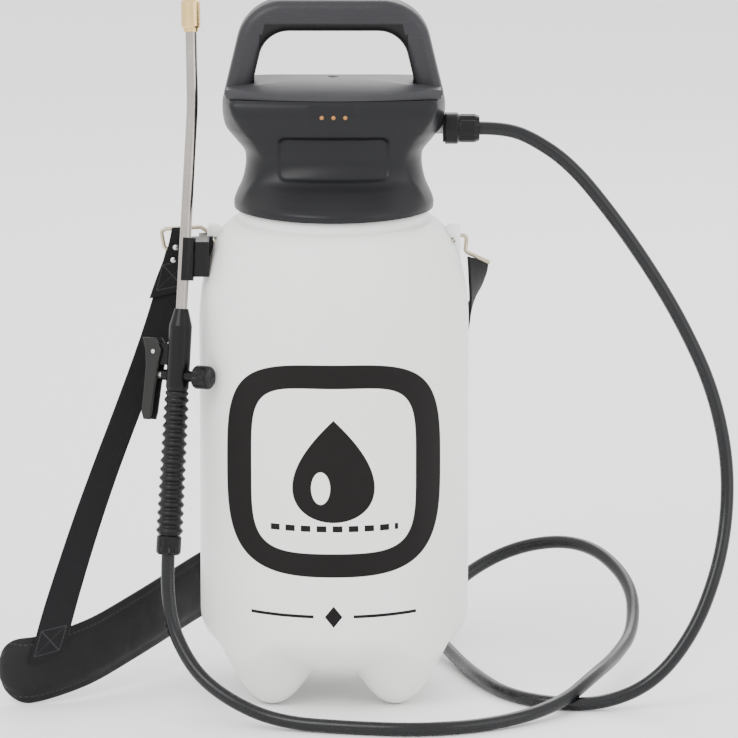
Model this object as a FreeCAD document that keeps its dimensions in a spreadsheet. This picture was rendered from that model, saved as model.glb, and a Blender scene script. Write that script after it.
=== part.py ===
import FreeCAD, Part
import math
import os
import Sketcher
from FreeCAD import Placement, Rotation, Vector

# Eight-litre pump sprayer: tank, pump lid with D-handle, hose, lance, strap and shoulder pad.
# Origin: tank axis on the ground. +Z up, -Y is the front, +X is the side the hose leaves from.

doc = FreeCAD.newDocument("pump_sprayer")
sheet = doc.addObject("Spreadsheet::Sheet", "sizes")

driving = {
    # tank
    "tank_radius": 95, "tank_wall": 2.5, "base_rise": 21, "side_foot": 51, "side_head": 268,
    "collar_radius": 67, "collar_height": 341, "neck_radius": 40, "neck_top": 366,
    "foot_offset": 61, "foot_tip": 13, "foot_root": 34, "foot_height": 40,
    "lug_out": 89, "lug_thick": 10, "lug_head": 336.5, "lug_hole_out": 83, "lug_hole_up": 325.6,
    "lug_hole_radius": 2.4,
    # lid
    "lid_wall": 3, "lid_foot": 350, "lid_head": 430, "lid_rim": 70, "deck_thick": 4,
    "rim_gap": 0.3, "gasket_thick": 2, "flange_thick": 3, "flange_radius": 34, "thread_gap": 0.3,
    # pump
    "barrel_radius": 22, "barrel_wall": 2, "barrel_foot": 75, "rod_radius": 5.5,
    "plunger_rest": 92, "plunger_length": 24, "running_gap": 0.05,
    "guide_radius": 13, "handle_gap": 0.5,
    # handle
    "plate_length": 150, "plate_depth": 76, "plate_corner": 54, "plate_height": 11.5, "plate_edge": 3,
    "handle_top": 497, "handle_half": 77, "handle_half_top": 61, "handle_depth": 26,
    "handle_leg": 18.5, "handle_grip": 22, "handle_corner": 34, "handle_round": 7,
    # outlet, dip tube and relief valve
    "outlet_height": 405, "outlet_radius": 4, "outlet_bore": 2.5, "nut_radius": 10.1, "nut_flange": 11.3,
    "nut_start": 78, "nut_end": 102.4, "dip_offset": 28.5, "dip_radius": 3.6, "dip_foot": 34,
    "relief_height": 400, "relief_face": 38, "relief_radius": 7,
    # lance
    "tube_radius": 4, "tube_bore": 3.2, "grip_low": 8.7, "grip_high": 9.5, "grip_start": 14,
    "grip_end": 115, "core_radius": 6, "head_radius": 8.1, "head_end": 157, "nose_end": 173,
    "rib_count": 16, "bend_at": 315, "bend_angle": 4.2, "bend_radius": 250, "tip_run": 66,
    "nozzle_radius": 6.7, "nozzle_length": 20.5, "pivot_out": 18, "pivot_up": 142, "valve_up": 126,
    "valve_radius": 2.8, "lever_half": 5.4, "lever_cheek": 2,
    "lever_web": 2.4, "lever_out": 5.8, "pin_radius": 1.5, "clip_low": 193, "clip_high": 223, "lance_roll": 30,
    "cap_radius": 8.35, "cap_start": 14.7, "cap_end": 26.7,
    # soft goods and wire
    "wire_radius": 1.4, "strap_width": 25, "strap_thick": 1.8, "pad_width": 48, "pad_thick": 9,
    "hose_radius": 4.75,
}

for row, (alias, number) in enumerate(driving.items(), start=1):
    sheet.set(f"A{row}", alias.replace("_", " "))
    sheet.set(f"B{row}", str(number))
    sheet.setAlias(f"B{row}", alias)
doc.recompute()


def size(alias):
    return float(sheet.get(alias))


def bind(thing, **expressions):
    # Ties properties of one object to the sheet; a double underscore stands for a dot.
    for prop, expression in expressions.items():
        thing.setExpression(prop.replace("__", "."), expression)
    return thing


def hold(sketch, corner, kind, axis, expression):
    if expression == "0":
        sketch.addConstraint(Sketcher.Constraint("PointOnObject", corner, 1, axis))
        return
    number = sketch.addConstraint(Sketcher.Constraint(kind, -1, 1, corner, 1, 10.0))
    sketch.setExpression(f"Constraints[{number}]", expression.replace("$", "sizes."))


def turned(label, outline, place=None):
    # A body turned about its Z axis: the outline is a closed list of (radius, height) expressions.
    body = doc.addObject("PartDesign::Body", label)
    body.Label = label
    sketch = body.newObject("Sketcher::SketchObject", label + "_outline")
    plane = [f for f in body.Origin.OriginFeatures if f.Role == "XZ_Plane"][0]
    sketch.AttachmentSupport = [(plane, "")]
    sketch.MapMode = "FlatFace"
    count = len(outline)
    first = [Vector(40 + 30 * math.cos(2 * math.pi * i / count),
                    40 + 30 * math.sin(2 * math.pi * i / count), 0) for i in range(count)]
    for i in range(count):
        sketch.addGeometry(Part.LineSegment(first[i], first[(i + 1) % count]), False)
    for i in range(count):
        sketch.addConstraint(Sketcher.Constraint("Coincident", i, 2, (i + 1) % count, 1))
    for i, (radius, height) in enumerate(outline):
        hold(sketch, i, "DistanceX", -2, radius)
        hold(sketch, i, "DistanceY", -1, height)
    turn = body.newObject("PartDesign::Revolution", label + "_turn")
    turn.Profile = (sketch, [""])
    turn.ReferenceAxis = (sketch, ["V_Axis"])
    turn.Angle = 360
    if place is not None:
        body.Placement = place
    return body


def tube(label, inner, outer, low, high, place=None):
    return turned(label, [(inner, low), (outer, low), (outer, high), (inner, high)], place)


def shaped(label, shape, place=None):
    # A sub-part whose curved form no primitive has.
    thing = doc.addObject("Part::Feature", label)
    thing.Label = label
    thing.Shape = shape
    if place is not None:
        thing.Placement = place.multiply(shape.Placement)
    return thing


def cylinder(name, radius, height, spot=(0, 0, 0), turn=None):
    thing = doc.addObject("Part::Cylinder", name)
    bind(thing, Radius=radius.replace("$", "sizes."), Height=height.replace("$", "sizes."))
    thing.Placement = Placement(Vector(*spot), turn or Rotation())
    return thing


def cut(label, base, tool):
    thing = doc.addObject("Part::Cut", label)
    thing.Base, thing.Tool, thing.Label = base, tool, label
    return thing


def arcThrough(a, b, c):
    return Part.Arc(a, b, c).toShape()


def revolve(edges):
    return Part.Face(Part.Wire(edges)).revolve(Vector(), Vector(0, 0, 1), 360)


def line(a, b):
    return Part.LineSegment(a, b).toShape()


def point(radius, height):
    return Vector(radius, 0, height)


# ---- tank: blown shell with four feet, a threaded neck and two strap lugs

def tankForm(inset):
    # The tank's outer form, or the form of its inside when inset is the wall.
    side = size("tank_radius") - inset
    collar = size("collar_radius") - inset
    neck = size("neck_radius") - inset
    low, high = size("side_foot"), size("side_head")
    shoulder, rise = size("collar_height") - inset, size("base_rise") + inset
    top, shelf = size("neck_top") + (inset > 0) * 1.0, size("lid_foot") - size("rim_gap") - inset
    reach = shoulder - high
    turnPoint = point(side - (side - collar) * 0.30, high + reach * 0.62)
    bowl = point(side * 0.72, rise + (low - rise) * 0.22)
    form = revolve([
        line(point(0, rise), point(side * 0.30, rise)),
        arcThrough(point(side * 0.30, rise), bowl, point(side, low)),
        line(point(side, low), point(side, high)),
        arcThrough(point(side, high), turnPoint, point(collar, shoulder)),
        line(point(collar, shoulder), point(collar, shelf)),
        line(point(collar, shelf), point(neck, shelf)),
        line(point(neck, shelf), point(neck, top)),
        line(point(neck, top), point(0, top)),
        line(point(0, top), point(0, rise)),
    ])
    tip, root = size("foot_tip") - inset, size("foot_root") - inset
    height = size("foot_height")
    knee = tip * 0.45
    foot = revolve([
        line(point(0, inset), point(knee, inset)),
        arcThrough(point(knee, inset), point(tip * 0.92, inset + tip * 0.25), point(tip * 1.1, inset + tip * 0.55)),
        line(point(tip * 1.1, inset + tip * 0.55), point(root, height)),
        line(point(root, height), point(root - 4, low + 12)),
        line(point(root - 4, low + 12), point(0, low + 12)),
        line(point(0, low + 12), point(0, inset)),
    ])
    for quarter in range(4):
        angle = math.radians(45 + 90 * quarter)
        place = Vector(math.cos(angle), math.sin(angle), 0) * size("foot_offset")
        form = form.fuse(foot.translated(place))
    return form


def lugForm(side):
    # A fin on the shoulder with an eye for the strap hook; side is -1 for left, 1 for right.
    out, thick, head = size("lug_out"), size("lug_thick"), size("lug_head")
    rim = [Vector(48, 0, size("side_head") - 4), Vector(size("tank_radius") - 3, 0, size("side_head") - 4),
           Vector(out, 0, size("side_head") + 18), Vector(out, 0, head - 2), Vector(out - 2, 0, head),
           Vector(out - 7, 0, head - 0.8), Vector(out - 12, 0, head - 3), Vector(48, 0, head - 3)]
    fin = Part.Face(Part.makePolygon(rim + rim[:1])).extrude(Vector(0, thick, 0))
    fin.translate(Vector(0, -thick / 2, 0))
    eye = Part.makeCylinder(size("lug_hole_radius"), thick + 2,
                            Vector(size("lug_hole_out"), -thick / 2 - 1, size("lug_hole_up")), Vector(0, 1, 0))
    fin = fin.cut(eye)
    if side < 0:
        fin = fin.rotated(Vector(), Vector(0, 0, 1), 180)
    return fin


shell = tankForm(0)
for side in (-1, 1):
    shell = shell.fuse(lugForm(side))
shaped("tank", shell.cut(tankForm(size("tank_wall"))).removeSplitter())

# ---- lid: a round rim that pinches to a waist and swells to an oval head

# height, half width, half depth at the middle, and the corner's half width and half depth
lidSections = [
    (0.00, 1.000, 1.000, 0.914, 0.406), (0.06, 1.000, 0.996, 0.914, 0.406),
    (0.13, 0.971, 0.890, 0.893, 0.400), (0.21, 0.929, 0.757, 0.843, 0.410),
    (0.30, 0.900, 0.614, 0.757, 0.425), (0.41, 0.883, 0.527, 0.700, 0.440),
    (0.51, 0.900, 0.514, 0.707, 0.452), (0.62, 1.000, 0.536, 0.771, 0.475),
    (0.72, 1.086, 0.571, 0.871, 0.505), (0.84, 1.114, 0.600, 0.971, 0.525),
    (0.95, 1.114, 0.586, 1.020, 0.505), (1.00, 1.093, 0.550, 1.000, 0.475),
]


def lidRing(level, wide, deep, cornerWide, cornerDeep, inset):
    rim = size("lid_rim")
    tall = size("lid_head") - size("lid_foot")
    height = size("lid_foot") + level * tall
    half, middle = wide * rim - inset, deep * rim - inset
    across, back = cornerWide * rim - inset * 0.9, cornerDeep * rim - inset * 0.7
    spots = [Vector(0, -middle, height), Vector(half, 0, height), Vector(0, middle, height), Vector(-half, 0, height)]
    corners = [Vector(-across, -back, height), Vector(across, -back, height),
               Vector(across, back, height), Vector(-across, back, height)]
    return Part.Wire([arcThrough(corners[i], spots[i], corners[(i + 1) % 4]) for i in range(4)])


def lidForm(inset):
    return Part.makeLoft([lidRing(*row, inset) for row in lidSections], True, False)


gasketTop = size("neck_top") + size("gasket_thick")
deckLow = gasketTop + size("flange_thick")
deckHigh = deckLow + size("deck_thick")
wall = size("lid_wall")
hollow = lidForm(wall)
roof = Part.makeBox(400, 400, 100, Vector(-200, -200, size("lid_head") - wall))
deck = Part.makeCylinder(60, size("deck_thick"), Vector(0, 0, deckLow)).common(hollow)
socket = Part.makeCylinder(size("neck_radius") + size("thread_gap") + 3, deckHigh - size("lid_foot") - 2,
                           Vector(0, 0, size("lid_foot") + 2))
socket = socket.cut(Part.makeCylinder(size("neck_radius") + size("thread_gap"), deckLow - size("lid_foot"),
                                      Vector(0, 0, size("lid_foot"))))
lid = lidForm(0).cut(hollow.cut(roof)).fuse(deck).fuse(socket.common(lidForm(wall * 0.5)))
guideHole = Part.makeCylinder(size("guide_radius") - 3, 60, Vector(0, 0, deckHigh + 20))
rodHole = Part.makeCylinder(size("rod_radius") + 1.5, 20, Vector(0, 0, deckLow - 2))
outletHole = Part.makeCylinder(size("outlet_radius") + 0.02, 30,
                               Vector(60, 0, size("outlet_height")), Vector(1, 0, 0))
dipHole = Part.makeCylinder(size("outlet_radius") + 0.02, 20, Vector(size("dip_offset"), 0, deckLow - 2))
reliefHole = Part.makeCylinder(size("relief_radius") - 2, 30,
                               Vector(0, size("relief_face") - 12, size("relief_height")), Vector(0, 1, 0))
sealSeat = Part.makeCylinder(size("nut_flange") - 1.5, 12, Vector(size("nut_start") - 1.5, 0, size("outlet_height")),
                             Vector(1, 0, 0))
nutSeat = Part.makeCylinder(size("nut_flange") + 0.3, 12, Vector(size("nut_start"), 0, size("outlet_height")),
                            Vector(1, 0, 0))
for hole in (guideHole, rodHole, outletHole, dipHole, reliefHole, sealSeat, nutSeat):
    lid = lid.cut(hole)
shaped("lid_shell", lid)

# ---- pump: gasket, barrel with flange, foot valve, rod guide, plunger, rod

tube("neck_gasket", "$neck_radius - 5", "$neck_radius", "$neck_top", "$neck_top + $gasket_thick")
barrelBody = turned("pump_barrel_turned", [
    ("6", "$barrel_foot"), ("$barrel_radius", "$barrel_foot"),
    ("$barrel_radius", "$neck_top + $gasket_thick"), ("$flange_radius + 4", "$neck_top + $gasket_thick"),
    ("$flange_radius + 4", "$neck_top + $gasket_thick + $flange_thick"),
    ("$barrel_radius - $barrel_wall", "$neck_top + $gasket_thick + $flange_thick"),
    ("$barrel_radius - $barrel_wall", "$barrel_foot + 3"), ("6", "$barrel_foot + 3")])
dipPass = cylinder("dip_pass", "$outlet_radius + 0.02", "$flange_thick + 4", (size("dip_offset"), 0, 366))
bind(dipPass, Placement__Base__z="sizes.neck_top", Placement__Base__x="sizes.dip_offset")
cut("pump_barrel", barrelBody, dipPass)
turned("foot_valve", [("0", "$barrel_foot - 2"), ("14", "$barrel_foot - 2"), ("14", "$barrel_foot"),
                      ("5.9", "$barrel_foot"), ("5.9", "$barrel_foot + 3"), ("8", "$barrel_foot + 3"),
                      ("6", "$barrel_foot + 7"), ("0", "$barrel_foot + 8")])
turned("rod_guide", [
    ("$rod_radius + $running_gap", "$lid_head - 14"), ("$guide_radius - 3.02", "$lid_head - 14"),
    ("$guide_radius - 3.02", "$lid_head"), ("$guide_radius - 3.02", "$lid_head + 0.3"),
    ("$rod_radius + $running_gap", "$lid_head + 0.3")])
turned("plunger_head", [
    ("$rod_radius + $running_gap", "$plunger_rest"), ("$barrel_radius - $barrel_wall - 0.6", "$plunger_rest"),
    ("$barrel_radius - $barrel_wall - 0.6", "$plunger_rest + 8"), ("$barrel_radius - 7", "$plunger_rest + 8"),
    ("$barrel_radius - 7", "$plunger_rest + 14"), ("$barrel_radius - $barrel_wall - 0.6", "$plunger_rest + 14"),
    ("$barrel_radius - $barrel_wall - 0.6", "$plunger_rest + $plunger_length"),
    ("$rod_radius + $running_gap", "$plunger_rest + $plunger_length")])
tube("plunger_cup", "$barrel_radius - 7", "$barrel_radius - $barrel_wall - $running_gap",
     "$plunger_rest + 8", "$plunger_rest + 14")
turned("pump_rod", [
    ("0", "$plunger_rest - 4"), ("$rod_radius + 3", "$plunger_rest - 4"), ("$rod_radius + 3", "$plunger_rest"),
    ("$rod_radius", "$plunger_rest"), ("$rod_radius", "$lid_head + 9"), ("0", "$lid_head + 9")])

# ---- handle: domed plate and D-shaped arch, pinned to the rod

plateLow = size("lid_head") + size("handle_gap")
halfLong, halfWide, halfCorner = size("plate_length") / 2, size("plate_depth") / 2, size("plate_corner") / 2
plan = Part.Wire([
    arcThrough(Vector(-halfLong, -halfCorner, plateLow), Vector(0, -halfWide, plateLow),
               Vector(halfLong, -halfCorner, plateLow)),
    line(Vector(halfLong, -halfCorner, plateLow), Vector(halfLong, halfCorner, plateLow)),
    arcThrough(Vector(halfLong, halfCorner, plateLow), Vector(0, halfWide, plateLow),
               Vector(-halfLong, halfCorner, plateLow)),
    line(Vector(-halfLong, halfCorner, plateLow), Vector(-halfLong, -halfCorner, plateLow))])
longSag = size("plate_height") - size("plate_edge")
longCrown = (halfLong ** 2 + 5.5 ** 2) / (2 * 5.5)
wideCrown = (halfWide ** 2 + longSag ** 2) / (2 * longSag)
crownTop = plateLow + size("plate_height")
plate = Part.Face(plan).extrude(Vector(0, 0, size("plate_height") + 1))
plate = plate.common(Part.makeCylinder(wideCrown, 400, Vector(-200, 0, crownTop - wideCrown), Vector(1, 0, 0)))
plate = plate.common(Part.makeCylinder(longCrown, 200, Vector(0, -100, crownTop - longCrown), Vector(0, 1, 0)))
legGap = 0.1
halfDeep = size("handle_depth") / 2
legLean = (size("handle_half") - size("handle_half_top")) / (size("handle_top") - plateLow)
legInner = size("handle_half") - size("handle_leg") - legLean * size("plate_height") - legGap
for side in (-1, 1):
    legBox = Part.makeBox(size("handle_leg") + 20, 2 * (halfDeep + legGap), 40,
                          Vector(legInner, -halfDeep - legGap, plateLow - 1))
    plate = plate.cut(legBox if side > 0 else legBox.mirror(Vector(), Vector(1, 0, 0)))
plate = plate.cut(Part.makeCylinder(size("rod_radius"), 9 - size("handle_gap") + 0.02,
                                    Vector(0, 0, plateLow - 0.02)))
shaped("handle_plate", plate)


def archForm():
    half, halfTop = size("handle_half"), size("handle_half_top")
    low, top = plateLow, size("handle_top")
    leg, grip, depth = size("handle_leg"), size("handle_grip"), size("handle_depth")
    lean = (half - halfTop) / (top - low)
    innerLow, innerTop = half - leg, half - leg - lean * (top - grip - low)
    rounds = []
    for wide, wideTop, head, corner in ((half, halfTop, top, size("handle_corner")),
                                        (innerLow, innerTop, top - grip, size("handle_corner") * 0.62)):
        foot = Vector(wide, 0, low)
        shoulder = Vector(wideTop, 0, head)
        up = (shoulder - foot).normalize()
        turn = math.acos(-up.x)
        back = corner * math.tan(turn / 2)
        start, end = shoulder - up * back, shoulder - Vector(back, 0, 0)
        centre = end - Vector(0, 0, corner)
        middle = centre + ((start - centre).normalize() + Vector(0, 0, 1)).normalize() * corner
        mirror = lambda v: Vector(-v.x, v.y, v.z)
        edges = [line(foot, start), arcThrough(start, middle, end), line(end, mirror(end)),
                 arcThrough(mirror(end), mirror(middle), mirror(start)), line(mirror(start), mirror(foot)),
                 line(mirror(foot), foot)]
        rounds.append(Part.Face(Part.Wire(edges)).extrude(Vector(0, depth, 0)))
    arch = rounds[0].cut(rounds[1])
    arch.translate(Vector(0, -depth / 2, 0))
    soft = [e for e in arch.Edges if abs(abs(e.CenterOfMass.y) - depth / 2) < 1e-4
            and e.BoundBox.ZMax > low + 1]
    return arch.makeFillet(size("handle_round"), soft)


shaped("handle_arch", archForm())
sideways = Rotation(Vector(0, 0, 1), Vector(1, 0, 0))
turned("rod_screw", [("0", "$lid_head + 9"), ("3", "$lid_head + 9"),
                     ("3", "$lid_head + $handle_gap + $plate_height - 1.5"),
                     ("0", "$lid_head + $handle_gap + $plate_height - 1.5")])
doc.recompute()
screwRoom = Part.makeCylinder(3.02, 30, Vector(0, 0, size("lid_head") + 9))
doc.getObject("handle_plate").Shape = doc.getObject("handle_plate").Shape.cut(screwRoom)

# ---- outlet: bent pipe through the lid wall, seal, hose nut; dip tube and strainer below

def pipe(route, radii, outer, inner):
    # A round tube along straight runs joined by tangent arcs.
    edges, seen = [], route[0]
    for i, radius in enumerate(radii, start=1):
        corner = route[i]
        before, after = (corner - route[i - 1]).normalize(), (route[i + 1] - corner).normalize()
        turn = before.getAngle(after)
        back = radius * math.tan(turn / 2)
        start, end = corner - before * back, corner + after * back
        centre = start + (after - before * math.cos(turn)).normalize() * radius
        middle = centre + ((start - centre) + (end - centre)).normalize() * radius
        edges += [line(seen, start), arcThrough(start, middle, end)]
        seen = end
    edges.append(line(seen, route[-1]))
    path = Part.Wire(edges)
    heading = (route[1] - route[0]).normalize()
    solid = path.makePipeShell([Part.Wire(Part.makeCircle(outer, route[0], heading))], True, True)
    if inner:
        solid = solid.cut(path.makePipeShell([Part.Wire(Part.makeCircle(inner, route[0], heading))], True, True))
    return solid, path.Length


dipX, outletZ = size("dip_offset"), size("outlet_height")
outlet, outletLength = pipe([Vector(dipX, 0, size("neck_top") + 1), Vector(dipX, 0, outletZ),
                             Vector(size("nut_end") - 3, 0, outletZ)], [14],
                            size("outlet_radius"), size("outlet_bore"))
shaped("outlet_pipe", outlet)
nutPlace = Placement(Vector(0, 0, outletZ), sideways)
turned("hose_nut", [
    ("$outlet_radius + 0.02", "$nut_start"), ("$nut_flange", "$nut_start"), ("$nut_flange", "$nut_start + 9"),
    ("$nut_radius", "$nut_start + 10"), ("$nut_radius", "$nut_end - 3"), ("$nut_radius - 2", "$nut_end"),
    ("2.5", "$nut_end"), ("2.5", "$nut_end - 3"), ("$outlet_radius + 0.02", "$nut_end - 3")], nutPlace)
tube("outlet_seal", "$outlet_radius + 0.02", "$nut_flange - 1.5", "$nut_start - 1.5", "$nut_start", nutPlace)
tube("dip_tube", "$dip_radius - 1", "$dip_radius", "$dip_foot", "$neck_top + 1",
     Placement(Vector(dipX, 0, 0), Rotation()))
tube("strainer", "$dip_radius", "$dip_radius + 2.4", "$dip_foot - 4", "$dip_foot + 10",
     Placement(Vector(dipX, 0, 0), Rotation()))

# ---- relief valve on the back of the lid: body, sprung stem with a pull knob, seal

backwards = Placement(Vector(0, 0, size("relief_height")), Rotation(Vector(1, 0, 0), -90))
turned("relief_body", [
    ("2", "$relief_face - 8"), ("$relief_radius - 2.02", "$relief_face - 8"),
    ("$relief_radius - 2.02", "$relief_face + 4"), ("$relief_radius", "$relief_face + 4"),
    ("$relief_radius", "$relief_face + 8"), ("1.95", "$relief_face + 8"), ("1.95", "$relief_face + 6"),
    ("$relief_radius - 3", "$relief_face + 6"), ("$relief_radius - 3", "$relief_face - 6"),
    ("2", "$relief_face - 6")], backwards)
turned("relief_knob", [
    ("0", "$relief_face - 5.9"), ("1.5", "$relief_face - 5.9"), ("1.5", "$relief_face - 4.3"),
    ("1.9", "$relief_face - 4.3"), ("1.9", "$relief_face + 8.1"),
    ("$relief_radius - 1", "$relief_face + 8.1"), ("$relief_radius", "$relief_face + 10"),
    ("$relief_radius", "$relief_face + 15"), ("$relief_radius - 1.5", "$relief_face + 16.5"),
    ("0", "$relief_face + 16.5")], backwards)
tube("relief_seal", "1.5", "$relief_radius - 3.4", "$relief_face - 5.9", "$relief_face - 4.3", backwards)


def coilSpring(radius, wire, low, high, turns):
    # Open coil about Z from low to high.
    rise = (high - low - 2 * wire) / turns
    helix = Part.makeHelix(rise, high - low - 2 * wire, radius)
    profile = Part.Wire(Part.makeCircle(wire, Vector(radius, 0, 0), Vector(0, 1, 0)))
    coil = Part.Wire(helix.Edges).makePipeShell([profile], True, True)
    coil.translate(Vector(0, 0, low + wire))
    return coil


shaped("relief_spring", coilSpring(2.9, 0.4, size("relief_face") - 4.28, size("relief_face") + 5.98, 5), backwards)

# ---- lance: built upright about its own axis, then leaned against the tank's left lug

lanceFoot = Vector(-116.1, -64, 112.5)
lanceHead = Vector(-99, -8.5, 419)
lean = Rotation(Vector(1, 0, 0), Vector(0, 1, 0), (lanceHead - lanceFoot).normalize(), "ZXY")
unrolled = Placement(lanceFoot, lean)
lance = unrolled.multiply(Placement(Vector(), Rotation(Vector(0, 0, 1), -size("lance_roll"))))


def onLance(x, y, z, turn=None):
    return lance.multiply(Placement(Vector(x, y, z), turn or Rotation()))


turned("lance_hose_nut", [
    ("2.5", "0"), ("7.4", "0"), ("8.8", "1.6"), ("8.8", "$grip_start - 0.3"),
    ("$core_radius + 0.02", "$grip_start - 0.3"), ("$core_radius + 0.02", "2.8"), ("2.5", "2.8")], lance)
pitch = "($grip_end - $grip_start) / $rib_count"
gripOutline = [("$core_radius + 0.02", "$grip_start")]
ribs = int(size("rib_count"))
for rib in range(ribs):
    low = f"$grip_start + {rib} * {pitch}"
    swell = f"$grip_low + ($grip_high - $grip_low) * (1 - {rib} / $rib_count)"
    gripOutline += [(f"{swell} - 0.9", low), (f"{swell} - 0.9", f"{low} + 0.24 * {pitch}"),
                    (swell, f"{low} + 0.40 * {pitch}"), (swell, f"{low} + 0.84 * {pitch}")]
gripOutline += [("$grip_low - 0.6", "$grip_end"), ("$core_radius + 0.02", "$grip_end")]
turned("grip_sleeve", gripOutline, lance)

core = turned("valve_core", [
    ("2.5", "2.8"), ("$core_radius", "2.8"), ("$core_radius", "$grip_end"),
    ("$head_radius - 1", "$grip_end"), ("$head_radius", "$grip_end + 3"), ("$head_radius", "$head_end"),
    ("$tube_radius + $running_gap", "$head_end"), ("$tube_radius + $running_gap", "$head_end - 12"),
    ("2.5", "$head_end - 12")])
doc.recompute()
boss = Part.makeCylinder(3.9, size("cap_start") + 13.8, Vector(-11.8, 0, size("valve_up")), Vector(1, 0, 0))
lugHalf = size("lever_half") - size("lever_cheek") - 0.2
lever = size("pivot_out")
lug = Part.makeBox(lever - 6, 2 * lugHalf, 15, Vector(-lever, -lugHalf, size("pivot_up") - 9))
lug = lug.fuse(Part.makeCylinder(3.4, 2 * lugHalf, Vector(-lever, -lugHalf, size("pivot_up")), Vector(0, 1, 0)))
body = core.Shape.copy().fuse([boss, lug])
mainBore = Part.makeCylinder(2.5, size("head_end") - 14.8, Vector(0, 0, 2.8))
crossBore = Part.makeCylinder(size("valve_radius") + size("running_gap"), 60,
                              Vector(-30, 0, size("valve_up")), Vector(1, 0, 0))
pinHole = Part.makeCylinder(size("pin_radius"), 40, Vector(-size("pivot_out"), -20, size("pivot_up")), Vector(0, 1, 0))
shaped("valve_body", body.cut(mainBore).cut(crossBore).cut(pinHole), lance)
turned("lance_nut", [
    ("$tube_radius + 1.8", "$head_end"), ("$head_radius", "$head_end"),
    ("$head_radius", "$head_end + 4"), ("$tube_radius + 0.9", "$nose_end"),
    ("$tube_radius + $running_gap", "$nose_end"), ("$tube_radius + $running_gap", "$head_end + 2"),
    ("$tube_radius + 1.8", "$head_end + 2")], lance)
tube("lance_seal", "$tube_radius + $running_gap", "$tube_radius + 1.8", "$head_end", "$head_end + 2", lance)
pinHalf = size("lever_half") + 0.6
shaped("trigger_pin", Part.makeCylinder(size("pin_radius"), 2 * pinHalf,
                                        Vector(-lever, -pinHalf, size("pivot_up")), Vector(0, 1, 0)), lance)


def leverForm():
    # A channel that straddles the body's lug: its web is on the outside, its cheeks reach in to the pin.
    out, up = size("pivot_out"), size("pivot_up")
    back = size("lever_out")
    outer = [Vector(-out - back - 3.9, 0, up + 9.5), Vector(-out - back - 1, 0, up + 1),
             Vector(-out - back, 0, up - 10), Vector(-out - back - 0.6, 0, up - 26),
             Vector(-out - back - 1.7, 0, up - 43)]
    inner = [Vector(-out - 0.6, 0, up - 48), Vector(-out + 0.6, 0, up - 43), Vector(-out + 2.3, 0, up - 24),
             Vector(-out + 4, 0, up - 9), Vector(-out + 6.2, 0, up + 1.5), Vector(-out + 0.8, 0, up + 9.5)]
    rim = outer + [Vector(-out - back + 0.2, 0, up - 48)] + inner
    half, web = size("lever_half"), size("lever_web")
    solid = Part.Face(Part.makePolygon(rim + rim[:1])).extrude(Vector(0, 2 * half, 0))
    solid.translate(Vector(0, -half, 0))
    soft = [e for e in solid.Edges if abs(abs(e.CenterOfMass.y) - half) < 1e-4]
    solid = solid.makeFillet(0.9, soft)
    channelRim = [spot + Vector(web, 0, 0) for spot in outer] + [Vector(-out - back + web - 1.7, 0, up - 60),
                                                                 Vector(20, 0, up - 60), Vector(20, 0, up + 20),
                                                                 Vector(-out - back + web - 7.2, 0, up + 20)]
    channel = Part.Face(Part.makePolygon(channelRim + channelRim[:1])).extrude(
        Vector(0, 2 * (half - size("lever_cheek")), 0))
    channel.translate(Vector(0, size("lever_cheek") - half, 0))
    pinRoom = Part.makeCylinder(size("pin_radius") + size("running_gap"), 40, Vector(-out, -20, up), Vector(0, 1, 0))
    return solid.cut(channel).cut(pinRoom)


shaped("trigger_lever", leverForm(), lance)
cross = onLance(0, 0, size("valve_up"), sideways)
valveTip = "-$pivot_out - $lever_out + $lever_web + 0.35"
turned("valve_plunger", [
    ("0", valveTip), ("$valve_radius", valveTip), ("$valve_radius", "5"), ("$valve_radius - 0.8", "5"),
    ("$valve_radius - 0.8", "6.8"), ("$valve_radius", "6.8"), ("$valve_radius", "12"), ("0", "12")], cross)
tube("valve_seal", "$valve_radius - 0.8", "$valve_radius + $running_gap - 0.02", "5", "6.8", cross)
turned("valve_cap", [
    ("0", "$cap_end"), ("$cap_radius - 1", "$cap_end"), ("$cap_radius", "$cap_end - 1"),
    ("$cap_radius", "$cap_start + 1"), ("$cap_radius - 1", "$cap_start"), ("3.92", "$cap_start"),
    ("3.92", "$cap_start + 2"), ("$valve_radius + $running_gap", "$cap_start + 2"),
    ("$valve_radius + $running_gap", "$cap_end - 2"), ("0", "$cap_end - 2")], cross)


shaped("valve_spring", coilSpring(2.1, 0.4, 12.02, size("cap_end") - 2.02, 5), cross)

bendAt, tilt = size("bend_at"), math.radians(size("bend_angle"))
tipWay = Vector(-math.sin(tilt), 0, math.cos(tilt))
tubeStart = size("head_end") - 11.8
tipEnd = Vector(0, 0, bendAt) + tipWay * (size("tip_run") - 6)
wand, wandLength = pipe([Vector(0, 0, tubeStart), Vector(0, 0, bendAt), tipEnd], [size("bend_radius")],
                        size("tube_radius"), size("tube_bore"))
shaped("lance_tube", wand, unrolled)
tip = unrolled.multiply(Placement(Vector(0, 0, bendAt), Rotation(Vector(0, 1, 0), -size("bend_angle"))))
turned("nozzle_body", [
    ("$tube_radius", "$tip_run - 14"), ("$nozzle_radius - 1.5", "$tip_run - 14"),
    ("$nozzle_radius - 1.5", "$tip_run"), ("1.2", "$tip_run"), ("1.2", "$tip_run - 6"),
    ("$tube_radius", "$tip_run - 6")], tip)
turned("nozzle_cap", [
    ("$nozzle_radius - 1.45", "$tip_run - 11.5"), ("$nozzle_radius - 0.8", "$tip_run - 11.5"),
    ("$nozzle_radius", "$tip_run - 10"), ("$nozzle_radius", "$tip_run + 7"),
    ("$nozzle_radius - 2", "$tip_run - 11.5 + $nozzle_length"), ("0.7", "$tip_run - 11.5 + $nozzle_length"),
    ("0.7", "$tip_run + 3"), ("$nozzle_radius - 1.45", "$tip_run + 3")], tip)
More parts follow.
